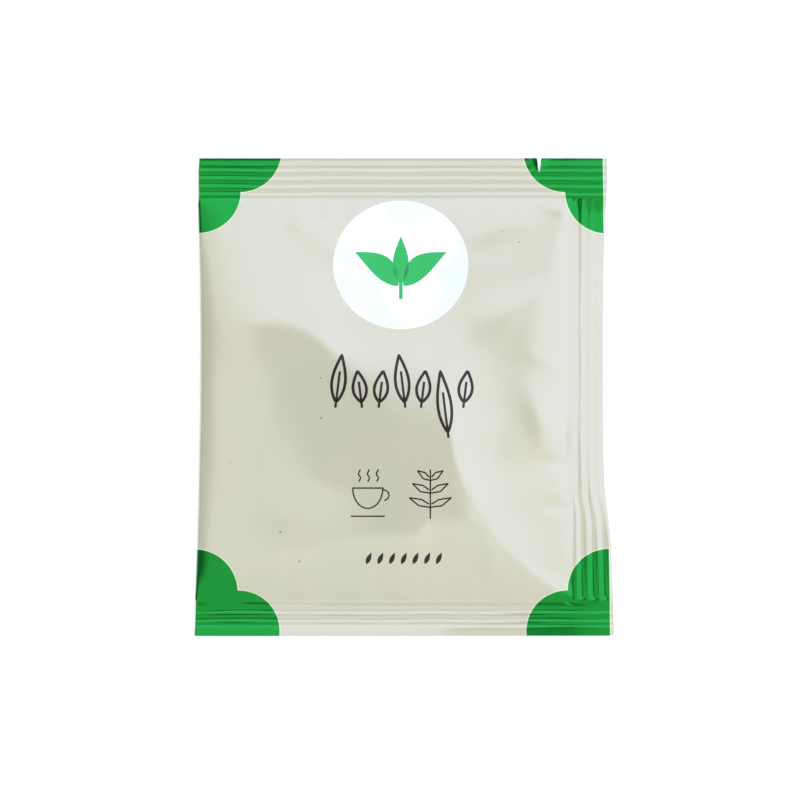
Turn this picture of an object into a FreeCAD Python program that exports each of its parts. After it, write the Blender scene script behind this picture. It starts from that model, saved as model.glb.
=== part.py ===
"""Tea bag envelope: a flat heat-sealed sachet of laminated film, lying on its back.

One film is folded along the left edge and crimped shut along the top, the bottom and the right.
+X runs to the right across the printed face, +Y to the crimped top edge and +Z out of the face.
The origin is the middle of the footprint, on the surface that the sachet lies on. Millimetres.
"""

import FreeCAD, Part
import math
import os
import re

import Sketcher
from FreeCAD import Vector

OUT_DIR = "parts"
SHEET = "Sizes"

# Driving dimensions, in millimetres, and counts of ribs.
SIZES = {
    "pack_height": 75.0,  # cut edge to cut edge, along Y
    "top_width": 64.2,  # along the top edge
    "bottom_width": 66.0,  # along the bottom edge
    "waist_draw": 0.85,  # how far the filling draws in the middle of each side
    "film": 0.1,  # one thickness of the laminate; a seam is two
    "seam_level": 1.9,  # middle of the seams above the table
    "front_bulge": 3.5,  # how far the filling lifts the printed face
    "back_squash": 0.25,  # how far the table flattens the back
    "crimp_pitch": 1.27,  # rib to rib, top and bottom seams
    "side_pitch": 1.36,  # rib to rib, right seam
    "rib_rise": 0.12,  # of a rib above the middle of its seam
    "top_ribs": 4,
    "bottom_ribs": 3,
    "side_ribs": 4,
    "top_lip": 1.3,  # plain film outside the ribs
    "bottom_lip": 1.4,
    "side_seam": 5.2,  # width of the right seam at the waist
    "seam_land": 0.3,  # plain film between the ribs and the pocket
    "notch_inset": 10.6,  # tear notch, in from the right end of the top edge
    "notch_width": 1.1,
    "notch_depth": 2.1,
}

# Sizes that follow from those.
DERIVED = {
    "top_seam": "top_ribs * crimp_pitch + top_lip + seam_land",
    "bottom_seam": "bottom_ribs * crimp_pitch + bottom_lip + seam_land",
    "waist_half": "( top_width + bottom_width ) / 4 - waist_draw",
    "pocket_top": "pack_height / 2 - top_seam",
    "pocket_bottom": "bottom_seam - pack_height / 2",
    "pocket_right": "waist_half - side_seam",
    "full_thickness": "seam_level + film + front_bulge",
    "blank_half": "max( top_width ; bottom_width ) / 2",
}

# The pocket's two faces are smooth surfaces through a net of this many steps.
STEPS_ACROSS = 14
STEPS_ALONG = 16
# How squarely the filling fills the pocket: 2 is a plain dome, more is flatter on top.
FRONT_ACROSS = 2.2
FRONT_ALONG = 2.6
BACK_FULLNESS = 4.0

# How far the cutting shapes reach past what they cut.
REACH = 4.0


def make_sheet(doc):
    """The spreadsheet: one alias to each size, then the sizes worked out from them."""
    sheet = doc.addObject("Spreadsheet::Sheet", SHEET)
    cells = [(alias, str(number)) for alias, number in SIZES.items()]
    cells += [(alias, f"={formula}") for alias, formula in DERIVED.items()]
    for row, (alias, text) in enumerate(cells, start=1):
        sheet.set(f"A{row}", alias)
        sheet.set(f"B{row}", text)
        sheet.setAlias(f"B{row}", alias)
    doc.recompute()
    return sheet


def ref(text):
    """An expression in which each size is read from the sheet."""
    names = "|".join([*SIZES, *DERIVED])
    return re.sub(rf"\b({names})\b", rf"{SHEET}.\1", text)


def origin_feature(body, role):
    return next(f for f in body.Origin.OriginFeatures if f.Role == role)


def add_sketch(body, name, plane, middle="0"):
    """A sketch on one of the body's own origin planes, or moved out from it by an expression."""
    sketch = body.newObject("Sketcher::SketchObject", name)
    sketch.AttachmentSupport = [(origin_feature(body, plane), "")]
    sketch.MapMode = "FlatFace"
    sketch.setExpression("AttachmentOffset.Base.z", ref(middle))
    return sketch


def place(sheet, across, up):
    """The point at two expressions."""
    return Vector(sheet.evalExpression(ref(across)), sheet.evalExpression(ref(up)), 0)


def arc_over(start, end, rise):
    """An arc from one point to another that bows up by rise, or down where it is negative."""
    return Part.Arc(start, (start + end) * 0.5 + Vector(0, rise, 0), end)


def join_loop(sketch, count):
    """Joins each edge to the next and returns the end of each edge where the last one meets it."""
    starts = []
    for edge in range(count):
        follower = (edge + 1) % count
        pairs = [(here, there) for here in (1, 2) for there in (1, 2)]
        gaps = [
            sketch.getPoint(edge, here).distanceToPoint(sketch.getPoint(follower, there))
            for here, there in pairs
        ]
        here, there = pairs[gaps.index(min(gaps))]
        sketch.addConstraint(Sketcher.Constraint("Coincident", edge, here, follower, there))
        starts.append((follower, there))
    return starts[-1:] + starts[:-1]


def pin(sketch, name, corner, across, up):
    """Holds the end of an edge at the place given by two expressions."""
    edge, end = corner
    now = sketch.getPoint(edge, end)
    for axis, kind, number, text in (
        ("x", "DistanceX", now.x, across),
        ("y", "DistanceY", now.y, up),
    ):
        index = sketch.addConstraint(Sketcher.Constraint(kind, -1, 1, edge, end, number))
        sketch.renameConstraint(index, f"{name}_{axis}")
        sketch.setExpression(f"Constraints.{name}_{axis}", ref(text))


def polygon(sheet, sketch, places):
    """A closed outline of straight edges with a corner at each pair of expressions."""
    corners = [place(sheet, across, up) for across, up in places]
    for start, end in zip(corners, corners[1:] + corners[:1]):
        sketch.addGeometry(Part.LineSegment(start, end))
    for number, corner in enumerate(join_loop(sketch, len(corners))):
        pin(sketch, f"corner{number}", corner, *places[number])


def add_pad(body, sketch, name, length):
    """A pad of the sketch, half to each side of its plane."""
    pad = body.newObject("PartDesign::Pad", name)
    pad.Profile = sketch
    pad.SideType = "Symmetric"
    pad.setExpression("Length", ref(length))
    return pad


def add_flat(sheet, body, plane, name, near, far, length, middle):
    """A plain stretch of the double film, between two distances across the seam."""
    low, high = "seam_level - film", "seam_level + film"
    sketch = add_sketch(body, f"{name}_section", plane, middle)
    polygon(sheet, sketch, [(near, low), (far, low), (far, high), (near, high)])
    return add_pad(body, sketch, name, length)


def add_rib(sheet, body, plane, name, near, pitch, length, middle):
    """One period of the crimp: both films bow up for half a pitch, then down for half."""
    low, high = "seam_level - film", "seam_level + film"
    steps = [near, f"{near} + {pitch} / 2", f"{near} + {pitch}"]
    places = [(across, high) for across in steps] + [(across, low) for across in steps[::-1]]
    corners = [place(sheet, across, up) for across, up in places]
    rise = sheet.get("rib_rise")
    sketch = add_sketch(body, f"{name}_section", plane, middle)
    sketch.addGeometry(arc_over(corners[0], corners[1], rise))
    sketch.addGeometry(arc_over(corners[1], corners[2], -rise))
    sketch.addGeometry(Part.LineSegment(corners[2], corners[3]))
    sketch.addGeometry(arc_over(corners[3], corners[4], -rise))
    sketch.addGeometry(arc_over(corners[4], corners[5], rise))
    sketch.addGeometry(Part.LineSegment(corners[5], corners[0]))
    for number, corner in enumerate(join_loop(sketch, len(corners))):
        pin(sketch, f"corner{number}", corner, *places[number])
    radius = f"( {pitch} * {pitch} / 16 + rib_rise * rib_rise ) / ( 2 * rib_rise )"
    for edge in (0, 1, 3, 4):
        now = sketch.Geometry[edge].Radius
        index = sketch.addConstraint(Sketcher.Constraint("Radius", edge, now))
        sketch.renameConstraint(index, f"radius{edge}")
        sketch.setExpression(f"Constraints.radius{edge}", ref(radius))
    return add_pad(body, sketch, name, length)


def make_seam(doc, sheet, label, plane, axis, span, first, crimp, length, middle="0"):
    """A crimped seam: plain film, ribs side by side, then plain film again.

    The seam's section lies on the plane, and its ribs follow one another along the axis.
    """
    start, stop = span
    ribs, pitch = crimp
    body = doc.addObject("PartDesign::Body", label)
    body.Label = label
    near = f"{start} + {first}"
    far = f"{near} + {ribs} * {pitch}"
    add_flat(sheet, body, plane, f"{label}_first_flat", start, near, length, middle)
    rib = add_rib(sheet, body, plane, f"{label}_rib", near, pitch, length, middle)
    doc.recompute()
    pattern = body.newObject("PartDesign::LinearPattern", f"{label}_ribs")
    pattern.Originals = [rib]
    pattern.Direction = (origin_feature(body, axis), [""])
    pattern.setExpression("Length", ref(f"( {ribs} - 1 ) * {pitch}"))
    pattern.setExpression("Occurrences", ref(ribs))
    body.Tip = pattern
    doc.recompute()
    add_flat(sheet, body, plane, f"{label}_last_flat", far, stop, length, middle)
    doc.recompute()
    return body


def make_seams(doc, sheet):
    """The three crimped seams, each long enough to be trimmed to the outline."""
    wide = f"2 * ( blank_half + {REACH} )"
    crimp = ("top_ribs", "crimp_pitch")
    span = ("pocket_top", "pack_height / 2")
    top = make_seam(
        doc, sheet, "top_strip", "YZ_Plane", "Y_Axis", span, "seam_land", crimp, wide
    )
    crimp = ("bottom_ribs", "crimp_pitch")
    span = ("-pack_height / 2", "pocket_bottom")
    bottom = make_seam(
        doc, sheet, "bottom_strip", "YZ_Plane", "Y_Axis", span, "bottom_lip", crimp, wide
    )
    crimp = ("side_ribs", "side_pitch")
    span = ("pocket_right", f"blank_half + {REACH}")
    tall = "pocket_top - pocket_bottom"
    middle = "-( pocket_top + pocket_bottom ) / 2"
    side = make_seam(
        doc, sheet, "side_strip", "XZ_Plane", "X_Axis", span, "seam_land", crimp, tall, middle
    )
    return [top, bottom, side]


def make_outline(doc, sheet):
    """A tall block of the sachet's outline; the sides curve in at the waist."""
    body = doc.addObject("PartDesign::Body", "outline")
    body.Label = "outline"
    half = "pack_height / 2"
    places = [
        ("-bottom_width / 2", f"-{half}"),
        ("bottom_width / 2", f"-{half}"),
        ("top_width / 2", half),
        ("-top_width / 2", half),
    ]
    corners = [place(sheet, across, up) for across, up in places]
    waist = place(sheet, "waist_half", "0")
    sketch = add_sketch(body, "outline_section", "XY_Plane")
    sketch.addGeometry(Part.LineSegment(corners[0], corners[1]))
    sketch.addGeometry(Part.Arc(corners[1], waist, corners[2]))
    sketch.addGeometry(Part.LineSegment(corners[2], corners[3]))
    sketch.addGeometry(Part.Arc(corners[3], -waist, corners[0]))
    for number, corner in enumerate(join_loop(sketch, len(corners))):
        pin(sketch, f"corner{number}", corner, *places[number])
    for edge, side in ((1, ""), (3, "-")):
        point = sketch.addGeometry(Part.Point(place(sheet, f"{side}waist_half", "0")), True)
        pin(sketch, f"waist{edge}", (point, 1), f"{side}waist_half", "0")
        sketch.addConstraint(Sketcher.Constraint("PointOnObject", point, 1, edge))
    add_pad(body, sketch, "outline_block", f"2 * ( full_thickness + {REACH} )")
    doc.recompute()
    return body


def make_notch(doc, sheet):
    """The wedge that the tear notch takes out of the top edge."""
    body = doc.addObject("PartDesign::Body", "notch")
    body.Label = "notch"
    middle = "( top_width / 2 - notch_inset )"
    flare = "notch_width / 2 * ( 1 + 1 / notch_depth )"
    over = "pack_height / 2 + 1"
    sketch = add_sketch(body, "notch_section", "XY_Plane")
    places = [
        (middle, "pack_height / 2 - notch_depth"),
        (f"{middle} + {flare}", over),
        (f"{middle} - {flare}", over),
    ]
    polygon(sheet, sketch, places)
    add_pad(body, sketch, "notch_block", f"2 * ( full_thickness + {REACH} )")
    doc.recompute()
    return body


def left_edge(sheet, y):
    """The outline's left side at a height: an arc through its two ends and the waist."""
    half = sheet.get("pack_height") / 2
    arc = Part.Circle(
        Vector(-sheet.get("top_width") / 2, half, 0),
        Vector(-sheet.get("waist_half"), 0, 0),
        Vector(-sheet.get("bottom_width") / 2, -half, 0),
    )
    return arc.Center.x + math.sqrt(arc.Radius**2 - (y - arc.Center.y) ** 2)


def across_steps():
    """Shares of the pocket's half width, -1 at the left fold to 1 at the right seam.

    They crowd together towards the fold, where the faces turn over.
    """
    half = STEPS_ACROSS // 2
    left = [-math.cos(math.pi / 2 * step / half) for step in range(half)]
    return left + [step / half for step in range(half + 1)]


def along_steps():
    return [2 * step / STEPS_ALONG - 1 for step in range(STEPS_ALONG + 1)]


def fill(s, t, across, along):
    """How full the pocket is at a share of its half width and of its half height.

    The film turns over in a round nose at the left fold and leaves the other seams at a slope.
    """
    side = max(0.0, 1 - abs(s) ** across)
    end = max(0.0, 1 - abs(t) ** along)
    return (math.sqrt(side) if s < 0 else side) * end


def pocket_net(sheet, level, lift, across, along):
    """Points over the pocket at a level, moved up or down by the filling."""
    low, high = sheet.get("pocket_bottom"), sheet.get("pocket_top")
    right = sheet.get("pocket_right")
    rows = []
    for t in along_steps():
        y = (low + high) / 2 + t * (high - low) / 2
        left = left_edge(sheet, y)
        row = []
        for s in across_steps():
            x = (left + right) / 2 + s * (right - left) / 2
            row.append(Vector(x, y, level + lift * fill(s, t, across, along)))
        rows.append(row)
    return rows


def net_face(rows):
    surface = Part.BSplineSurface()
    surface.interpolate(rows)
    return surface.toShape()


def make_pillow(doc, sheet):
    """The filled pocket: a smooth front and a smooth back, joined by the film's edge."""
    seam, film = sheet.get("seam_level"), sheet.get("film")
    drop = seam - film + sheet.get("back_squash")
    lift = sheet.get("front_bulge")
    front = net_face(pocket_net(sheet, seam + film, lift, FRONT_ACROSS, FRONT_ALONG))
    back = net_face(pocket_net(sheet, seam - film, -drop, BACK_FULLNESS, BACK_FULLNESS))
    rims = [Part.makeRuledSurface(a, b) for a, b in zip(front.Edges, back.Edges)]
    shell = Part.Shell([front, back] + rims)
    shell.sewShape()
    solid = Part.Solid(shell)
    if solid.Volume < 0:
        solid.reverse()
    pillow = doc.addObject("Part::Feature", "pillow")
    pillow.Label = "pillow"
    pillow.Shape = solid
    pillow.Placement = FreeCAD.Placement()
    return pillow


def make_table(doc):
    """The block below the table's surface, which flattens the back."""
    table = doc.addObject("Part::Box", "table")
    table.Label = "table"
    table.setExpression("Length", ref(f"2 * ( blank_half + {REACH} )"))
    table.setExpression("Width", ref(f"pack_height + 2 * {REACH}"))
    table.setExpression("Height", ref("seam_level + back_squash"))
    table.setExpression("Placement.Base.x", ref(f"-( blank_half + {REACH} )"))
    table.setExpression("Placement.Base.y", ref(f"-( pack_height / 2 + {REACH} )"))
    table.setExpression("Placement.Base.z", ref("-( seam_level + back_squash )"))
    doc.recompute()
    return table


def join(doc, kind, label, **inputs):
    """A boolean feature of the given kind."""
    feature = doc.addObject(f"Part::{kind}", label)
    feature.Label = label
    for name, shape in inputs.items():
        setattr(feature, name, shape)
    doc.recompute()
    return feature


def check(doc, node):
    """Stops the script if a feature failed or the finished shape isn't one sound solid."""
    for item in doc.Objects:
        if "Invalid" in item.State or "Error" in item.State:
            raise RuntimeError(f"{item.Label} failed: {item.State}")
    shape = node.Shape
    if shape.isNull() or not shape.isValid() or len(shape.Solids) != 1:
        raise RuntimeError(f"{node.Label} is not one valid solid")


def report(node):
    """Prints how far the finished solid reaches each way, and its volume."""
    points = node.Shape.tessellate(0.01)[0]
    for axis in ("x", "y", "z"):
        reach = [getattr(point, axis) for point in points]
        print(f"{node.Label} {axis}: {min(reach):.3f} to {max(reach):.3f} mm")
    print(f"{node.Label} volume: {node.Shape.Volume:.1f} mm3")


def main():
    doc = FreeCAD.newDocument("TeaBagEnvelope")
    sheet = make_sheet(doc)
    seams = join(doc, "MultiFuse", "seams", Shapes=make_seams(doc, sheet))
    trimmed = join(doc, "MultiCommon", "trimmed", Shapes=[seams, make_outline(doc, sheet)])
    notched = join(doc, "Cut", "notched", Base=trimmed, Tool=make_notch(doc, sheet))
    pillow = make_pillow(doc, sheet)
    resting = join(doc, "Cut", "resting_pillow", Base=pillow, Tool=make_table(doc))
    sachet = join(doc, "MultiFuse", "sachet", Shapes=[notched, resting])
    doc.recompute()
    check(doc, sachet)
    os.makedirs(OUT_DIR, exist_ok=True)
    sachet.Shape.exportStep(os.path.join(OUT_DIR, f"{sachet.Label}.step"))
    report(sachet)


main()
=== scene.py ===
"""Tea bag envelope: the looks of a heat-sealed film sachet, around the CAD solid.

The front film and the back film are thin closed sheets that meet at the left fold.
Sizes inside the functions are millimetres; SCALE turns them into metres.
"""

import math

import bmesh
import bpy
import numpy as np
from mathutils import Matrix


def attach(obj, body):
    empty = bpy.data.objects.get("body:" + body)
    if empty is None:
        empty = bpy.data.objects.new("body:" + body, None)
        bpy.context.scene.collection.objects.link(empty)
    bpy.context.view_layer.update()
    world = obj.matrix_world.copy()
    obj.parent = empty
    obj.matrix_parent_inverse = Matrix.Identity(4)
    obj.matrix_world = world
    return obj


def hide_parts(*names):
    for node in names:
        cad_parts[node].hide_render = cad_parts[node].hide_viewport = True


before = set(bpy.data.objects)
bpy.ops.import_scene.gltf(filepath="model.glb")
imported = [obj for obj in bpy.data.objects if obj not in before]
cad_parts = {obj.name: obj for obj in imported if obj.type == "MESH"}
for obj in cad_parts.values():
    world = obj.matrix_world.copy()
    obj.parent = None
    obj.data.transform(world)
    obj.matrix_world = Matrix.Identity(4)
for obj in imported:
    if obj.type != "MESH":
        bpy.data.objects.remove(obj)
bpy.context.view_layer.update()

SCALE = 0.001

# The flat blank, and the pocket that its seams leave.
HALF_WIDTH = 33.0
HALF_HEIGHT = 37.5
POCKET_TOP = 30.82
POCKET_BOTTOM = -31.99
POCKET_RIGHT = 26.5
SEAM_LEVEL = 1.9  # height of the seams' middle over the table
FILM = 0.1  # from the seams' middle to a film's outer side
FILM_WALL = 0.085  # thickness of each film's sheet
LEFT_FOLD_REACH = 15.0  # width over which the left edge's curve fades into the pocket
FULL_LIFT = 3.25  # how far the tea bag lifts the front film above the seams

# Outline: height on the pack, then how far out each side stands there.
LEFT_EDGE = [
    (-37.5, -32.98), (-34.0, -32.85), (-28.6, -32.7), (-24.0, -32.55), (-17.7, -32.38),
    (-7.5, -32.2), (-2.8, -32.1), (8.0, -32.06), (18.3, -32.12), (23.0, -32.2),
    (32.4, -32.33), (36.0, -32.36), (37.5, -32.22),
]
RIGHT_EDGE = [
    (-37.5, 33.0), (-31.8, 32.88), (-28.6, 32.72), (-24.7, 32.58), (-21.6, 32.38),
    (-19.2, 32.14), (-16.9, 31.86), (-14.6, 31.62), (-9.9, 31.42), (-5.2, 31.32),
    (11.3, 31.3), (23.0, 31.45), (27.7, 31.62), (31.3, 31.8), (34.7, 31.9), (37.5, 31.9),
]

# Crimp ribs: rib spacing, a crest, and the stretch that they cover.
TOP_CRIMP = {"pitch": 1.27, "crest": 32.8, "span": (31.35, 36.15), "rise": 0.07, "thin": 0.0}
BOTTOM_CRIMP = {"pitch": 1.31, "crest": -34.05, "span": (-36.0, -33.0), "rise": 0.11, "thin": 1.0}
SIDE_CRIMP = {"pitch": 1.84, "crest": 28.35, "span": (26.75, 33.0), "rise": 0.055, "thin": 0.35}

# Tear notch in the top edge.
NOTCH_X = 21.2
NOTCH_FLOOR = 35.3
NOTCH_MOUTH = 0.7


def step(low, high, value):
    """Smooth rise from 0 at low to 1 at high."""
    share = np.clip((value - low) / (high - low), 0.0, 1.0)
    return share * share * (3 - 2 * share)


def blend_min(first, second, radius):
    """The lower of two heights, with the crease between them rounded."""
    near = np.maximum(radius - np.abs(first - second), 0.0) / np.maximum(radius, 1e-6)
    return np.minimum(first, second) - near * near * radius * 0.25


def curve(points, value):
    """Height of a smooth line through a few points, found by position along it."""
    places = np.array([p[0] for p in points])
    heights = np.array([p[1] for p in points])
    shifts = (-1.0, -0.5, 0.0, 0.5, 1.0)
    return sum(np.interp(value + shift, places, heights) for shift in shifts) / len(shifts)


def along(points, x, y):
    """Distance from a line of points, and how far along it the nearest place is, 0 to 1."""
    line = np.array(points, float)
    lengths = np.hypot(*(line[1:] - line[:-1]).T)
    total = lengths.sum()
    best = np.full(np.shape(x), 1e9)
    share = np.zeros(np.shape(x))
    run = 0.0
    for a, b, length in zip(line[:-1], line[1:], lengths):
        t = ((x - a[0]) * (b[0] - a[0]) + (y - a[1]) * (b[1] - a[1])) / length**2
        t = np.clip(t, 0.0, 1.0)
        gap = np.hypot(x - a[0] - t * (b[0] - a[0]), y - a[1] - t * (b[1] - a[1]))
        closer = gap < best
        share = np.where(closer, (run + t * length) / total, share)
        best = np.where(closer, gap, best)
        run += length
    return best, share


def ridge(points, width, rise, x, y):
    """A soft ridge, or a furrow where rise is negative, that fades out at both ends."""
    gap, share = along(points, x, y)
    fade = step(0.0, 0.45, share) * step(1.0, 0.55, share)
    return rise * np.exp(-((gap / width) ** 2)) * fade


def waves(seed, count, shortest, longest, x, y):
    """Gentle irregular swells in all directions, mostly within 1 of level."""
    rng = np.random.default_rng(seed)
    total = np.zeros(np.shape(x))
    for _ in range(count):
        length = rng.uniform(shortest, longest)
        turn = rng.uniform(0, 2 * math.pi)
        phase = rng.uniform(0, 2 * math.pi)
        reach = (x * math.cos(turn) + y * math.sin(turn)) * 2 * math.pi / length
        total += np.sin(reach + phase)
    return total / count**0.5


# Where the film creases over the tea bag inside.
UPPER_CREASE = [
    (-33.0, 9.6), (-28.5, 10.3), (-25.2, 11.6), (-22.5, 12.05), (-20.5, 11.95), (-18.3, 11.3),
    (-16.0, 10.5), (-13.5, 9.1), (-11.6, 7.5), (-9.7, 5.7), (-5.0, 3.2), (-0.6, 1.1),
    (4.1, -1.0), (10.0, -3.0), (18.0, -4.5), (33.0, -5.0),
]
RIGHT_CREASE = [
    (-32.0, 26.5), (-30.4, 23.5), (-28.8, 21.3), (-26.3, 18.2), (-23.8, 16.0), (-20.3, 13.5),
    (-17.2, 11.3), (-13.5, 9.7), (-9.1, 8.1), (-5.9, 7.6), (0.0, 6.0), (12.0, 1.0),
]
LEFT_CREASE = [
    (-32.0, -2.0), (-19.0, -5.5), (-15.3, -8.8), (-13.8, -11.6), (-11.0, -14.7), (-8.1, -17.2),
    (-5.0, -18.8), (-1.6, -20.0), (0.3, -21.9), (4.4, -23.2), (7.8, -24.7), (10.8, -26.0),
    (20.0, -29.0),
]


def fall(past, slope, reach):
    """How far a facet has dropped at a distance past its crease: steep first, then easing off.

    Short of the crease it goes on rising at the same slope.
    """
    eased = slope * reach * (1 - np.exp(-np.maximum(past, 0) / reach))
    return np.where(past < 0, slope * past, eased)


def rise_from(inset, sharp, reach, slope):
    """Height over a seam at a distance in from it: a quick turn up, then an even slope."""
    inset = np.maximum(inset, 0.0)
    return sharp * (1 - np.exp(-inset / reach)) + slope * inset


def fold_share(x):
    """Share of the full lift that is there near the left fold: a round nose, then easing up."""
    inset = np.maximum(x + HALF_WIDTH, 0.0)
    turn = np.clip(1 - inset / 0.4, 0.0, 1.0)
    nose = 0.33 * np.sqrt(np.maximum(1 - turn * turn, 0.0)) + 0.67
    return nose - (0.33 * np.exp(-inset / 1.3) + 0.34 * np.exp(-inset / 4.0))


def foot_facet(x, y):
    """Height over the bottom seam: gentler between the two lower creases, quick at the right."""
    corner = step(12.0, 22.0, x)
    between = step(1.4, 4.8, x) * step(14.6, 11.2, x)
    sharp = 1.7 - 0.5 * between + 0.3 * corner
    reach = 6.0 - 1.5 * between
    slope = 0.2 - 0.02 * between - 0.1 * corner
    return rise_from(y - POCKET_BOTTOM, sharp, reach, slope)


def bag_facets(x, y):
    """The top of the tea bag, with the facets that fall away past its three creases."""
    toward = 0.7 * (x - 14.0) - 0.7 * (y + 19.5)
    plateau = FULL_LIFT - 0.17 * 0.5 * (np.sqrt(toward**2 + 3.0) + toward)
    above = FULL_LIFT - fall(y - curve(UPPER_CREASE, x), 0.115, 45.0)
    upper = step(-9.0, 12.0, y)
    reach = 5.5 + 6.0 * upper - 2.0 * step(-18.0, -27.0, y)
    beyond = plateau - fall(x - curve(RIGHT_CREASE, y), 0.27 - 0.10 * upper, reach)
    before = plateau - fall(curve(LEFT_CREASE, y) - x, 0.06, 60.0)
    lift = blend_min(plateau, above, 0.12 + 0.5 * step(-12.0, 0.0, x))
    lift = blend_min(lift, beyond, 0.16 + 0.3 * step(-6.0, 3.0, y))
    return blend_min(lift, before, 0.25)


def pocket_lift(x, y):
    """How far the filling lifts the front film above the seams: flat facets, creased over."""
    top = rise_from(POCKET_TOP + 0.4 - y, 0.25, 0.8, 0.16)
    right = rise_from(POCKET_RIGHT - x, 1.0, 1.9, 0.14)
    lift = blend_min(bag_facets(x, y), top, 0.35)
    lift = blend_min(lift, right, 0.45)
    lift = blend_min(lift, foot_facet(x, y), 0.5)
    return np.maximum(lift * fold_share(x), 0.0)


# Folds and dents in the front film: a line of points, a half width, and a rise.
FOLDS = [
    # long soft streak to the right of the right crease
    ([(18.0, 3.5), (20.8, -1.4), (22.8, -5.8), (23.9, -10.0), (24.4, -15.0)], 2.4, 0.24),
    # two folds running across to the side seam
    ([(10.0, 9.6), (15.0, 12.4), (20.0, 15.4), (24.0, 16.5), (28.0, 17.2)], 2.3, 0.13),
    ([(17.5, 7.6), (21.5, 5.8), (28.0, 3.4)], 1.2, 0.08),
    # pull lines at the top left and top right
    ([(-22.0, 32.5), (-17.6, 28.6), (-13.0, 25.0), (-6.5, 20.0)], 2.6, 0.25),
    ([(6.0, 24.4), (12.5, 25.4), (19.5, 28.0)], 1.5, 0.06),
    ([(19.0, 30.9), (23.5, 30.2), (28.0, 28.2)], 1.4, 0.15),
    # dents beside the side seam
    ([(20.5, -10.2), (24.4, -10.5), (28.2, -10.3)], 1.0, -0.14),
    ([(20.6, -16.4), (24.4, -17.2), (28.2, -18.3)], 1.1, -0.14),
    # edges of the tea bag, felt through the film on the left
    ([(-23.9, -4.5), (-23.6, -12.0), (-23.7, -20.5)], 1.2, 0.038),
    ([(-22.5, -15.0), (-15.5, -15.0), (-7.5, -13.8)], 2.6, 0.09),
    # fine furrow along the right crease
    ([(8.6, -12.5), (10.6, -17.2), (13.0, -21.6), (15.7, -24.9), (19.4, -29.1), (22.0, -31.0)],
     0.38, -0.045),
    # small dent near the foot
    ([(12.9, -26.9), (12.2, -28.6), (11.4, -31.0)], 0.75, -0.11),
    # upright streaks near the foot
    ([(-18.3, -22.5), (-18.2, -28.0), (-18.5, -34.0)], 1.1, -0.11),
    ([(-4.6, -22.5), (-4.6, -28.5), (-4.9, -34.2)], 1.0, -0.11),
    ([(3.4, -25.0), (3.2, -29.6), (3.6, -34.2)], 0.9, -0.10),
    ([(-0.6, -26.0), (-1.2, -30.2), (-1.0, -34.2)], 1.0, 0.08),
    ([(-26.8, -19.0), (-26.9, -25.0), (-26.6, -31.0)], 0.9, 0.05),
    # turn-up line along the side seam
    ([(26.15, 24.0), (26.1, 8.0), (26.2, -8.0), (26.3, -28.0)], 0.28, -0.05),
    # puckers under the top seam
    ([(-12.6, 30.9), (-12.2, 29.4), (-11.2, 27.4)], 0.8, 0.07),
    ([(-9.9, 30.9), (-9.7, 29.8), (-9.0, 28.6)], 0.5, -0.06),
    ([(-6.8, 30.9), (-7.2, 30.0), (-6.9, 29.0)], 0.6, 0.05),
    ([(12.3, 30.9), (12.7, 29.7), (13.4, 28.4)], 0.9, -0.05),
]


def film_creases(x, y):
    """Folds, dents and puckers in the front film, in millimetres."""
    inside = step(POCKET_RIGHT + 0.2, POCKET_RIGHT - 1.6, x)
    inside = inside * step(POCKET_BOTTOM - 0.3, POCKET_BOTTOM + 1.2, y)
    inside = inside * step(POCKET_TOP + 0.3, POCKET_TOP - 1.0, y) * step(-32.0, -28.5, x)
    total = np.zeros(np.shape(x))
    for points, width, rise in FOLDS:
        total += ridge(points, width, rise, x, y)
    total += 0.032 * waves(3, 9, 8.0, 18.0, x, y)
    down = np.maximum(POCKET_TOP - y, 0.0)
    up = np.maximum(y - POCKET_BOTTOM, 0.0)
    total += 0.03 * waves(5, 7, 3.0, 7.0, x, y * 0.25) * np.exp(-((down / 4.0) ** 2))
    total += 0.03 * waves(8, 7, 3.5, 9.0, x, y * 0.2) * np.exp(-((up / 5.0) ** 2))
    return total * inside


def crimp(rule, place, wander):
    """Height of a row of crimp ribs at a place across the seam. The rule's thin slims the crests."""
    low, high = rule["span"]
    window = step(low - 0.25, low + 0.35, place) * step(high + 0.25, high - 0.35, place)
    ribs = np.cos(2 * math.pi * (place - rule["crest"] - wander) / rule["pitch"])
    slim = 2 * np.exp(2.2 * (ribs - 1)) - 1
    return rule["rise"] * (ribs + rule["thin"] * (slim - ribs)) * window


# Soft lines along the bottom seam: a line of points, a half width, and a rise.
BOTTOM_LINES = [
    ([(20.5, -30.6), (23.1, -31.2), (25.1, -31.5), (26.4, -32.4), (31.0, -32.6)], 0.36, -0.10),
    ([(-32.6, -32.0), (-30.0, -31.75), (-27.4, -31.7), (-24.2, -32.0)], 0.8, 0.15),
    ([(-33.6, -33.5), (-31.6, -33.35), (-29.6, -33.35), (-27.0, -33.5)], 0.5, 0.09),
]


def seam_ribs(x, y):
    """Ribs of the three crimped seams. The side ribs stop where the others start."""
    sway = 0.05 * waves(11, 4, 14.0, 40.0, x, y)
    strength = 1.0 + 0.22 * waves(12, 4, 9.0, 30.0, x, y)
    total = crimp(TOP_CRIMP, y, sway) * strength
    total += crimp(BOTTOM_CRIMP, y, sway) * strength
    fine = np.exp(-(((y + 32.5) / 0.16) ** 2)) + np.exp(-(((y + 31.95) / 0.13) ** 2))
    total += 0.05 * fine * np.maximum(step(25.8, 26.8, x), 0.7 * step(-12.0, -16.0, x))
    for points, width, rise in BOTTOM_LINES:
        total += ridge(points, width, rise, x, y)
    between = step(31.3, 30.6, y) * step(-31.9, -31.2, y)
    jog = 0.55 * step(-15.0, -19.5, y)
    deeper = 0.85 + 1.35 * step(-11.0, -20.0, y)
    total += crimp(SIDE_CRIMP, x, sway + jog) * between * strength * deeper
    return total


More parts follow.
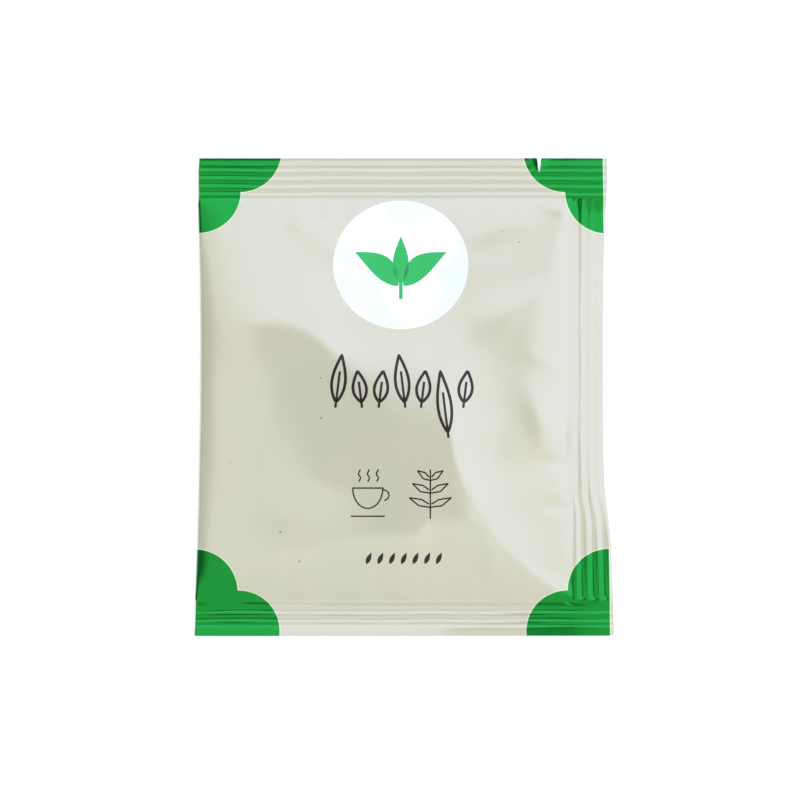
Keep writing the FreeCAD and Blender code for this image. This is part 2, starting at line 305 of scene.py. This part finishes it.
def seam_droop(x, y):
    """Sag of the seams towards the table, away from the pocket. The bottom lip turns up a little."""
    top = np.maximum(y - POCKET_TOP, 0.0)
    bottom = np.maximum(POCKET_BOTTOM - y, 0.0)
    side = np.maximum(x - POCKET_RIGHT, 0.0)
    curl = step(-22.0, -14.0, y) * (0.55 + 0.45 * step(32.0, 20.0, y))
    sag = side**1.4 * (0.018 + 0.07 * curl) * (1 - 0.85 * step(29.0, 31.5, y))
    lip = 0.05 * np.maximum(y - 36.05, 0.0)
    lip = lip - (0.06 + 0.16 * step(13.0, 3.0, x)) * np.maximum(-35.4 - y, 0.0)
    drop = lip + 0.0012 * top**2 + 0.008 * bottom**2 + sag
    return -np.minimum(drop, SEAM_LEVEL - 0.25)


def notch_curl(x, y):
    """How far the film curls up on both sides of the tear notch."""
    high = step(NOTCH_FLOOR - 0.6, HALF_HEIGHT, y)
    left = np.exp(-(np.maximum(NOTCH_X - x, 0.0) / 0.55)) * (x < NOTCH_X)
    right = np.exp(-(np.maximum(x - NOTCH_X, 0.0) / 0.7)) * (x > NOTCH_X)
    return high * (0.75 * left + 0.35 * right)


def seam_level(x, y):
    """Height of the level where the two films meet, with the seams' sag and ribs."""
    roll = 0.05 * step(HALF_HEIGHT - 0.3, HALF_HEIGHT, y)
    return SEAM_LEVEL + seam_droop(x, y) + seam_ribs(x, y) + notch_curl(x, y) + roll


def front_height(x, y):
    """Outer surface of the front film."""
    thickness = FILM * step(0.0, 0.3, x + HALF_WIDTH)
    return seam_level(x, y) + thickness + pocket_lift(x, y) + film_creases(x, y)


def back_height(x, y):
    """Outer surface of the back film, pressed flat by the table."""
    inset = np.maximum(x + HALF_WIDTH, 0.0)
    turn = np.clip(1 - inset / 2.4, 0.0, 1.0)
    nose = 1.75 * np.sqrt(np.maximum(1 - turn * turn, 0.0)) + 0.02 * inset
    top = 0.16 * np.maximum(POCKET_TOP - y, 0.0)
    bottom = 0.2 * np.maximum(y - POCKET_BOTTOM, 0.0)
    right = 0.18 * np.maximum(POCKET_RIGHT - x, 0.0)
    drop = blend_min(nose, blend_min(top, bottom, 0.4), 0.4)
    drop = np.maximum(blend_min(drop, right, 0.4), 0.0)
    ripple = 0.05 * waves(21, 9, 6.0, 15.0, x, y) * step(0.0, 1.0, drop)
    thickness = FILM * step(0.0, 0.3, inset)
    height = seam_level(x, y) - thickness - drop + ripple
    floor = 0.015 + 0.02 * (1 + waves(22, 6, 8.0, 18.0, x, y))
    return -blend_min(-height, -np.maximum(floor, 0.01), 0.25)


def spread(stops):
    """Positions from stretches of (start, end, spacing), each start the last one's end."""
    places = [stops[0][0]]
    for start, end, gap in stops:
        count = max(1, round(abs(end - start) / gap))
        places += [start + (end - start) * n / count for n in range(1, count + 1)]
    return np.array(places)


def columns():
    """Grid lines across the film: close at the fold, the side ribs and the notch."""
    nose = [0.0, 0.02, 0.07, 0.15, 0.27, 0.42, 0.6, 0.82, 1.08, 1.38, 1.72, 2.1, 2.5, 2.95]
    left = np.array(nose) - HALF_WIDTH
    rest = spread([
        (left[-1], 19.7, 0.46), (19.7, 20.7, 0.25), (20.7, NOTCH_X - 0.01, 0.12),
        (NOTCH_X - 0.01, NOTCH_X + 0.01, 0.02), (NOTCH_X + 0.01, 21.7, 0.12),
        (21.7, 22.7, 0.25), (22.7, 26.4, 0.42), (26.4, HALF_WIDTH, 0.155),
    ])
    return np.concatenate([left, rest[1:]])


def rows():
    """Grid lines up the film: close at the top and bottom ribs."""
    return spread([
        (-HALF_HEIGHT, -32.6, 0.13), (-32.6, -31.0, 0.25), (-31.0, 30.2, 0.46),
        (30.2, 31.2, 0.25), (31.2, 36.4, 0.125), (36.4, HALF_HEIGHT, 0.2),
    ])


def to_outline(x, y):
    """Draws the flat blank's sides in to the pack's real outline."""
    left_share = step(-HALF_WIDTH + LEFT_FOLD_REACH, -HALF_WIDTH, x)
    right_share = np.clip((x - POCKET_RIGHT) / (HALF_WIDTH - POCKET_RIGHT), 0.0, 1.0)
    drawn = x + left_share * (curve(LEFT_EDGE, y) + HALF_WIDTH)
    drawn = drawn + right_share * (curve(RIGHT_EDGE, y) - HALF_WIDTH)
    return drawn


def open_notch(x, y):
    """Parts the film at the tear notch."""
    depth = np.clip((y - NOTCH_FLOOR) / (HALF_HEIGHT - NOTCH_FLOOR), 0.0, 1.0)
    gape = 0.5 * NOTCH_MOUTH * (depth**0.3 + 0.6 * step(0.86, 1.0, depth))
    away = x - NOTCH_X
    return x + np.sign(away) * gape * np.exp(-np.abs(away) / 0.7)


def film_mesh(name, height, facing):
    """A closed thin film: a grid formed to the height, slit at the notch, given its wall."""
    xs, ys = columns(), rows()
    bm = bmesh.new()
    bmesh.ops.create_grid(bm, x_segments=len(xs) - 1, y_segments=len(ys) - 1, size=1.0)
    bm.verts.ensure_lookup_table()
    flat = np.array([v.co[:2] for v in bm.verts])
    x = np.interp((flat[:, 0] + 1) / 2, np.linspace(0, 1, len(xs)), xs)
    y = np.interp((flat[:, 1] + 1) / 2, np.linspace(0, 1, len(ys)), ys)
    z = height(x, y)
    drawn = open_notch(to_outline(x, y), y)
    bm.verts.index_update()
    for vert, px, py, pz in zip(bm.verts, drawn, y, z):
        vert.co = (px * SCALE, py * SCALE, pz * SCALE)
    in_slit = (np.abs(x - NOTCH_X) < 0.03) & (y > NOTCH_FLOOR - 0.01)
    slit = [face for face in bm.faces if all(in_slit[v.index] for v in face.verts)]
    bmesh.ops.delete(bm, geom=slit, context="FACES")
    if facing < 0:
        bmesh.ops.reverse_faces(bm, faces=bm.faces)
    give_wall(bm, FILM_WALL, facing)
    return finish_mesh(bm, name)


def give_wall(bm, wall, facing):
    """Closes an open sheet with an inner side one wall behind it, and rims all round."""
    bm.normal_update()
    outer = bm.faces[:]
    made = bmesh.ops.extrude_face_region(bm, geom=outer, use_keep_orig=True)["geom"]
    bmesh.ops.reverse_faces(bm, faces=[f for f in made if isinstance(f, bmesh.types.BMFace)])
    for vert in [v for v in made if isinstance(v, bmesh.types.BMVert)]:
        outward = 1 if vert.normal.z * facing > 0 else -1
        vert.co -= vert.normal * wall * SCALE * outward
    bmesh.ops.recalc_face_normals(bm, faces=bm.faces)
    for edge in bm.edges:
        edge.smooth = edge.calc_face_angle(0.0) < math.radians(55)


# Printed marks stand this far proud of the film, and are this thick.
INK_RISE = 0.03
INK_WALL = 0.06
FINE_LINE = 0.21  # width of the lines of the cup and the sprig


def lay_patch(bm, across, up, place):
    """A grid laid on the front film; place turns its two shares, 0 to 1, into a spot."""
    made = bmesh.ops.create_grid(bm, x_segments=across, y_segments=up, size=1.0)["verts"]
    shares = (np.array([v.co[:2] for v in made]) + 1) / 2
    x, y = place(shares[:, 0], shares[:, 1])
    z = front_height(x, y) + INK_RISE
    for vert, px, py, pz in zip(made, x, y, z):
        vert.co = (px * SCALE, py * SCALE, pz * SCALE)


def lay_stroke(bm, points, width):
    """A line of even width along some points. It closes if the last point is the first."""
    line = np.array(points, float)
    gaps = np.hypot(*(line[1:] - line[:-1]).T)
    run = np.concatenate([[0.0], np.cumsum(gaps)])
    count = max(2, int(run[-1] / 0.22))
    spots = np.linspace(0.0, run[-1], count + 1)
    x, y = np.interp(spots, run, line[:, 0]), np.interp(spots, run, line[:, 1])
    dx, dy = np.gradient(x), np.gradient(y)
    if np.allclose(line[0], line[-1]):
        dx[0] = dx[-1] = x[1] - x[-2]
        dy[0] = dy[-1] = y[1] - y[-2]
    size = np.hypot(dx, dy)

    def place(u, v):
        at = np.rint(u * count).astype(int)
        side = (v - 0.5) * width
        return x[at] - dy[at] / size[at] * side, y[at] + dx[at] / size[at] * side

    lay_patch(bm, count, 1, place)


def leaf_side(girth, share):
    """Half width of a leaf at a share of its length: rounder near the stem."""
    return girth * np.sin(np.pi * share**0.8)


def lay_leaf(bm, foot, turn, length, girth, bend=0.0):
    """A solid leaf from its foot, turned from straight up, with a curved spine."""
    c, s = math.cos(math.radians(turn)), math.sin(math.radians(turn))

    def place(u, v):
        side = leaf_side(girth, v) * (2 * u - 1) + bend * np.sin(np.pi * v)
        reach = v * length
        return foot[0] + side * c - reach * s, foot[1] + side * s + reach * c

    lay_patch(bm, 10, 26, place)


def leaf_outline(foot, length, girth):
    """Points round an upright leaf."""
    share = np.linspace(0.0, 1.0, 30)
    half = leaf_side(girth, share)
    right = list(zip(foot[0] + half, foot[1] + share * length))
    left = list(zip(foot[0] - half[::-1], foot[1] + share[::-1] * length))
    return right + left[1:]


def arc_points(centre, radius, start, end, flat=1.0):
    """Points along an arc, in degrees from the right."""
    turns = np.radians(np.linspace(start, end, 24))
    return [(centre[0] + radius * math.cos(a), centre[1] + radius * flat * math.sin(a)) for a in turns]


def turned(points, pivot, degrees):
    """Points turned about a pivot."""
    c, s = math.cos(math.radians(degrees)), math.sin(math.radians(degrees))
    away = [(x - pivot[0], y - pivot[1]) for x, y in points]
    return [(pivot[0] + dx * c - dy * s, pivot[1] + dx * s + dy * c) for dx, dy in away]


def lay_leaf_row(bm):
    """The row of seven slim leaves across the middle: two tall ones, and one that hangs low."""
    for number in range(7):
        low = -6.4 if number == 5 else -1.7
        high = 6.6 if number in (0, 3) else 4.1
        x = -10.2 + 3.3 * number
        foot, lean = (x, low + 0.9), (7.0 if number % 2 else -7.0)
        length = high - low - 0.9
        rim = leaf_outline(foot, length, 1.05)
        rib = [(x, low), (x, high - 0.35 * length)]
        middle = (x, (low + high) / 2)
        lay_stroke(bm, turned(rim, middle, lean), 0.44)
        lay_stroke(bm, turned(rib, middle, lean), 0.36)


def lay_cup(bm):
    """A line drawing of a tea cup on its saucer, steaming."""
    middle, brim = -5.65, -14.2
    lay_stroke(bm, [(-8.1, brim), (-3.2, brim)], FINE_LINE)
    lay_stroke(bm, arc_points((middle, brim), 2.35, 180, 360, 1.35), FINE_LINE)
    lay_stroke(bm, arc_points((-3.3, -15.3), 0.95, -75, 95, 0.9), FINE_LINE)
    lay_stroke(bm, [(-8.3, -18.6), (-3.0, -18.6)], FINE_LINE)
    for shift in (-1.4, 0.0, 1.4):
        x = middle + shift
        steam = [(x, -13.2), (x + 0.3, -12.6), (x - 0.1, -12.0), (x + 0.25, -11.3)]
        lay_stroke(bm, steam, FINE_LINE)


def lay_sprig(bm):
    """A line drawing of a small shoot with paired leaves, each leaf drawn as two lines."""
    stem = 4.1
    lay_stroke(bm, [(stem, -19.0), (stem, -11.3)], FINE_LINE)
    for height, reach in ((-17.2, 3.3), (-15.0, 2.8), (-13.0, 2.0)):
        for side in (-1, 1):
            tip = (stem + side * reach, height + 1.5)
            under = [(stem, height), (stem + side * reach * 0.55, height + 0.25), tip]
            over = [(stem + side * 0.2, height + 0.5), (stem + side * reach * 0.4, height + 1.2), tip]
            lay_stroke(bm, under, FINE_LINE)
            lay_stroke(bm, over, FINE_LINE)


def lay_seed_row(bm):
    """The row of seven small slanting seeds near the foot."""
    for number in range(7):
        lay_leaf(bm, (-5.9 + 1.83 * number, -26.1), -24.0, 2.0, 0.36)


def finish_ink(bm, name):
    """Joins the ends of closed lines, gives the ink its thickness and makes it a piece."""
    bmesh.ops.remove_doubles(bm, verts=bm.verts, dist=0.004 * SCALE)
    give_wall(bm, INK_WALL, 1)
    return finish_mesh(bm, name)


def dark_marks():
    """All the dark brown print: the leaf row, the cup, the sprig and the seed row."""
    bm = bmesh.new()
    lay_leaf_row(bm)
    lay_cup(bm)
    lay_sprig(bm)
    lay_seed_row(bm)
    return finish_ink(bm, "dark_print")


def green_shoot():
    """The tea shoot in the white disc: a bud between two leaves, on a short stem."""
    bm = bmesh.new()
    lay_leaf(bm, (-0.5, 17.6), 0.0, 7.6, 1.25)
    lay_leaf(bm, (-0.9, 17.4), 52.0, 8.6, 1.7, 0.8)
    lay_leaf(bm, (-0.1, 17.4), -52.0, 8.6, 1.7, -0.8)
    lay_stroke(bm, [(-0.5, 17.9), (-0.5, 15.3)], 0.55)
    return finish_ink(bm, "green_shoot")


def finish_mesh(bm, name):
    """Makes a smooth shaded piece of a bmesh and puts it in the scene."""
    for face in bm.faces:
        face.smooth = True
    mesh = bpy.data.meshes.new(name)
    bm.to_mesh(mesh)
    bm.free()
    piece = bpy.data.objects.new(name, mesh)
    bpy.context.scene.collection.objects.link(piece)
    return piece


PRINT_EDGE = 0.06  # half the soft width of a printed edge


class Nodes:
    """Short ways to add and join a tree's nodes."""

    def __init__(self, tree):
        self.tree = tree

    def add(self, kind, **settings):
        """A new node, with some of its settings."""
        node = self.tree.nodes.new(kind)
        for key, value in settings.items():
            setattr(node, key, value)
        return node

    def join(self, source, target):
        """Links a socket to another, or sets a plain value on it."""
        if isinstance(source, bpy.types.NodeSocket):
            self.tree.links.new(source, target)
        else:
            target.default_value = source

    def math(self, operation, *inputs):
        """A Math node's result."""
        node = self.add("ShaderNodeMath", operation=operation)
        for socket, value in zip(node.inputs, inputs):
            self.join(value, socket)
        return node.outputs[0]

    def mix(self, share, first, second):
        """A colour between two."""
        node = self.add("ShaderNodeMix", data_type="RGBA")
        self.join(share, node.inputs[0])
        self.join(first, node.inputs[6])
        self.join(second, node.inputs[7])
        return node.outputs[2]

    def blend(self, share, first, second):
        """A number between two."""
        node = self.add("ShaderNodeMix", data_type="FLOAT")
        self.join(share, node.inputs[0])
        self.join(first, node.inputs[2])
        self.join(second, node.inputs[3])
        return node.outputs[0]

    def ramp(self, value, low, high):
        """Smooth rise from 0 at low to 1 at high."""
        node = self.add("ShaderNodeMapRange", interpolation_type="SMOOTHSTEP")
        self.join(value, node.inputs[0])
        node.inputs[1].default_value = low
        node.inputs[2].default_value = high
        return node.outputs[0]

    def noise(self, coords, size, detail=3.0, rough=0.5):
        """Noise with features about size millimetres across."""
        node = self.add("ShaderNodeTexNoise")
        self.join(coords, node.inputs["Vector"])
        node.inputs["Scale"].default_value = 1.0 / (size * SCALE)
        node.inputs["Detail"].default_value = detail
        node.inputs["Roughness"].default_value = rough
        return node.outputs[0]

    def length(self, across, up):
        """Length of a step across and up."""
        across_square = self.math("MULTIPLY", across, across)
        up_square = self.math("MULTIPLY", up, up)
        return self.math("SQRT", self.math("ADD", across_square, up_square))

    def disc(self, x, y, centre, radius, edge=PRINT_EDGE, flat=1.0):
        """1 inside a disc and 0 outside. flat is its height over its width."""
        dx = self.math("SUBTRACT", x, centre[0])
        dy = self.math("DIVIDE", self.math("SUBTRACT", y, centre[1]), flat)
        return self.ramp(self.length(dx, dy), radius + edge, radius - edge)


# Green corners: where their two discs sit, and which way the corner lies.
CORNERS = [
    {"side": (-32.55, -30.36), "end": (-25.98, -36.78), "out": (-1, -1)},
    {"side": (32.15, -30.3), "end": (25.67, -36.78), "out": (1, -1)},
    {"side": (-32.1, 32.2), "end": (-25.7, 38.65), "out": (-1, 1)},
    {"side": (31.75, 32.2), "end": (25.2, 38.65), "out": (1, 1)},
]
CORNER_RADIUS = 6.45
HALO_REACH = 0.14  # width of the pale outline round the green

# The green stops at the right along a line that leans: where it crosses mid height, and its lean.
TRIM_X = 31.8
TRIM_LEAN = 0.01567

# The white disc in the upper half. Its flatness is its height over its width.
DISC_CENTRE = (-0.5, 20.7)
DISC_RADIUS = 10.55
DISC_FLATNESS = 0.957

CREAM = (0.382, 0.381, 0.250, 1)
CREAM_WARM = (0.391, 0.380, 0.251, 1)
GREEN = (0.0002, 0.180, 0.018, 1)
HALO = (0.45, 0.53, 0.30, 1)
WHITE = (0.64, 0.66, 0.69, 1)
WHITE_COOL = (0.52, 0.60, 0.69, 1)
FLECK = (0.10, 0.09, 0.06, 1)


def corner_field(n, x, y, corner, radius):
    """One green corner as a mask: a square, with a disc on each of its inner sides."""
    side = n.disc(x, y, corner["side"], radius)
    end = n.disc(x, y, corner["end"], radius)
    out_x, out_y = corner["out"]
    across = n.math("MULTIPLY", n.math("SUBTRACT", x, corner["end"][0]), float(out_x))
    up = n.math("MULTIPLY", n.math("SUBTRACT", y, corner["side"][1]), float(out_y))
    grow = radius - CORNER_RADIUS
    low, high = -PRINT_EDGE - grow, PRINT_EDGE - grow
    square = n.math("MULTIPLY", n.ramp(across, low, high), n.ramp(up, low, high))
    return n.math("MAXIMUM", n.math("MAXIMUM", side, end), square)


def corner_fields(n, x, y, radius):
    """The four green corners as one mask."""
    total = corner_field(n, x, y, CORNERS[0], radius)
    for corner in CORNERS[1:]:
        total = n.math("MAXIMUM", total, corner_field(n, x, y, corner, radius))
    return total


def new_material(name):
    """A new material, with its nodes and its shader."""
    material = bpy.data.materials.new(name)
    material.use_nodes = True
    n = Nodes(material.node_tree)
    return material, n, n.tree.nodes["Principled BSDF"]


def object_coords(n):
    """Object coordinates, in metres."""
    return n.add("ShaderNodeTexCoord").outputs["Object"]


def print_places(n, coords):
    """Places across and up the pack, in millimetres."""
    split = n.add("ShaderNodeSeparateXYZ")
    n.join(coords, split.inputs[0])
    x = n.math("MULTIPLY", split.outputs[0], 1 / SCALE)
    y = n.math("MULTIPLY", split.outputs[1], 1 / SCALE)
    return x, y


def film_bump(n, coords):
    """Fine grain of the laminate, felt rather than seen."""
    fine = n.noise(coords, 0.5, 2.0)
    broad = n.noise(coords, 3.5, 2.0)
    height = n.math("ADD", n.math("MULTIPLY", fine, 0.25), broad)
    bump = n.add("ShaderNodeBump")
    bump.inputs["Strength"].default_value = 0.12
    bump.inputs["Distance"].default_value = 0.1 * SCALE
    n.join(height, bump.inputs["Height"])
    return bump.outputs[0]


# Tiny dark flecks in the film: where they are, and their radius.
FLECKS = [
    (-13.0, 3.0, 0.13), (-12.9, -3.3, 0.16), (-19.3, -21.1, 0.17), (-16.4, -25.7, 0.17),
    (-27.2, -10.2, 0.11), (18.0, 24.3, 0.12), (15.5, 25.9, 0.10), (-16.6, 26.0, 0.09),
]


def cream_field(n, cloud):
    """The film's cream, warmer in broad patches."""
    return n.mix(n.ramp(cloud, 0.35, 0.65), CREAM, CREAM_WARM)


def add_corners(n, x, y, colour):
    """Green corners with their pale outline over a colour. Gives the green's mask too."""
    trim = n.math("SUBTRACT", TRIM_X, n.math("MULTIPLY", y, TRIM_LEAN))
    beyond = n.math("SUBTRACT", x, trim)
    outline = corner_fields(n, x, y, CORNER_RADIUS + HALO_REACH)
    halo = n.math("MULTIPLY", outline, n.ramp(beyond, 0.22, 0.12))
    green = n.math("MULTIPLY", corner_fields(n, x, y, CORNER_RADIUS), n.ramp(beyond, 0.05, -0.05))
    return n.mix(green, n.mix(halo, colour, HALO), GREEN), green


def add_white_disc(n, x, y, coords, colour):
    """The white disc over a colour, cooler in patches."""
    disc = n.disc(x, y, DISC_CENTRE, DISC_RADIUS, flat=DISC_FLATNESS)
    patches = n.ramp(n.noise(coords, 6.0, 1.0), 0.42, 0.62)
    return n.mix(disc, colour, n.mix(patches, WHITE, WHITE_COOL))


def add_flecks(n, x, y, colour):
    """The tiny dark flecks over a colour."""
    for across, up, radius in FLECKS:
        spot = n.disc(x, y, (across, up), radius, edge=0.05)
        colour = n.mix(n.math("MULTIPLY", spot, 0.8), colour, FLECK)
    return colour


def give_film_gloss(n, shader, coords, cloud, metallic, coat):
    """The finish that both films share: a glossy coat, a little uneven, with a fine grain."""
    n.join(metallic, shader.inputs["Metallic"])
    n.join(n.blend(cloud, 0.13, 0.19), shader.inputs["Roughness"])
    shader.inputs["Specular IOR Level"].default_value = 0.5
    n.join(coat, shader.inputs["Coat Weight"])
    shader.inputs["Coat Roughness"].default_value = 0.14
    n.join(film_bump(n, coords), shader.inputs["Normal"])


def front_film_material():
    """Pale cream laminate with green corners, a white disc and a few flecks."""
    material, n, shader = new_material("cream_film_front")
    coords = object_coords(n)
    x, y = print_places(n, coords)
    cloud = n.noise(coords, 14.0, 2.0)
    colour, green = add_corners(n, x, y, cream_field(n, cloud))
    colour = add_white_disc(n, x, y, coords, colour)
    colour = add_flecks(n, x, y, colour)
    n.join(colour, shader.inputs["Base Color"])
    give_film_gloss(n, shader, coords, cloud, n.blend(green, 0.04, 0.94), n.blend(green, 1.0, 0.18))
    return material


def back_film_material():
    """The same laminate, plain."""
    material, n, shader = new_material("cream_film_back")
    coords = object_coords(n)
    cloud = n.noise(coords, 14.0, 2.0)
    n.join(cream_field(n, cloud), shader.inputs["Base Color"])
    give_film_gloss(n, shader, coords, cloud, 0.04, 1.0)
    return material


def ink_material(name, colour, deep, metallic):
    """Glossy ink of one colour, a little uneven."""
    material, n, shader = new_material(name)
    coords = object_coords(n)
    n.join(n.mix(n.noise(coords, 2.5), colour, deep), shader.inputs["Base Color"])
    shader.inputs["Metallic"].default_value = metallic
    shader.inputs["Roughness"].default_value = 0.24
    shader.inputs["Specular IOR Level"].default_value = 0.28
    n.join(film_bump(n, coords), shader.inputs["Normal"])
    return material


def dark_ink_material():
    """The near-black brown of the rows and the drawings."""
    brown, deep = (0.010, 0.005, 0.004, 1), (0.006, 0.003, 0.003, 1)
    return ink_material("dark_brown_ink", brown, deep, 0.0)


def green_ink_material():
    """The green of the tea shoot."""
    green, deep = (0.014, 0.335, 0.066, 1), (0.010, 0.315, 0.058, 1)
    return ink_material("leaf_green_ink", green, deep, 0.1)


def stage_floor():
    """A plain pale table top, with a faint glow of its own."""
    bm = bmesh.new()
    bmesh.ops.create_grid(bm, x_segments=1, y_segments=1, size=1.2)
    floor = finish_mesh(bm, "table_top")
    material, _, shader = new_material("table_white")
    shader.inputs["Base Color"].default_value = (0.95, 0.95, 0.95, 1)
    shader.inputs["Roughness"].default_value = 0.6
    shader.inputs["Emission Color"].default_value = (1.0, 1.0, 1.0, 1)
    shader.inputs["Emission Strength"].default_value = 0.15
    floor.data.materials.append(material)


def sky_strength(n, dx, dy, dz, key):
    """Brightness of the sky: dim straight above, then a bright ring, dark at the horizon."""
    reach = n.length(dx, dy)
    toward = n.ramp(n.math("DIVIDE", key, n.math("ADD", reach, 0.001)), -0.3, 0.85)
    fill = n.blend(n.ramp(dx, -0.40, -0.74), 1.38, 0.15)
    ring = n.math("MULTIPLY", n.ramp(reach, 0.03, 0.235), n.blend(toward, fill, 2.2))
    height = n.blend(n.ramp(dz, 0.1, 0.6), 0.22, 1.0)
    return n.math("ADD", n.math("MULTIPLY", n.math("ADD", ring, 0.13), height), 0.15)


def studio_light():
    """Soft light all round, brightest and a little bluer towards the upper right."""
    world = bpy.data.worlds.new("studio")
    bpy.context.scene.world = world
    world.use_nodes = True
    n = Nodes(world.node_tree)
    split = n.add("ShaderNodeSeparateXYZ")
    n.join(n.add("ShaderNodeTexCoord").outputs["Generated"], split.inputs[0])
    dx, dy, dz = split.outputs
    key = n.math("ADD", n.math("MULTIPLY", dx, 0.62), n.math("MULTIPLY", dy, 0.78))
    tint = n.mix(n.ramp(key, 0.0, 0.3), (0.99, 0.99, 1.0, 1), (0.94, 0.98, 1.33, 1))
    back = n.tree.nodes["Background"]
    n.join(sky_strength(n, dx, dy, dz, key), back.inputs["Strength"])
    n.join(tint, back.inputs["Color"])


# What the camera frames: width of the view, at what height, and where its middle is.
VIEW_WIDTH = 125.2
VIEW_HEIGHT = 3.5
VIEW_MIDDLE = (-0.63, -0.47)


def look_down():
    """Camera straight above, far off with a long lens, framing the pack."""
    camera = bpy.data.cameras.new("camera")
    camera.lens = 135.0
    camera.sensor_width = 36.0
    holder = bpy.data.objects.new("camera", camera)
    height = VIEW_WIDTH * camera.lens / camera.sensor_width + VIEW_HEIGHT
    holder.location = (VIEW_MIDDLE[0] * SCALE, VIEW_MIDDLE[1] * SCALE, height * SCALE)
    bpy.context.scene.collection.objects.link(holder)
    bpy.context.scene.camera = holder
    bpy.context.scene.view_settings.view_transform = "Standard"


def main():
    """Makes the pieces, gives each its material and body, and sets the scene."""
    front = film_mesh("front_film", front_height, 1)
    back = film_mesh("back_film", back_height, -1)
    front.data.materials.append(front_film_material())
    back.data.materials.append(back_film_material())
    marks = dark_marks()
    shoot = green_shoot()
    marks.data.materials.append(dark_ink_material())
    shoot.data.materials.append(green_ink_material())
    for piece, slot in ((front, "film"), (back, "film"), (marks, "dark_ink"), (shoot, "green_ink")):
        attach(piece, "root")
    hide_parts("sachet")
    stage_floor()
    studio_light()
    look_down()


main()
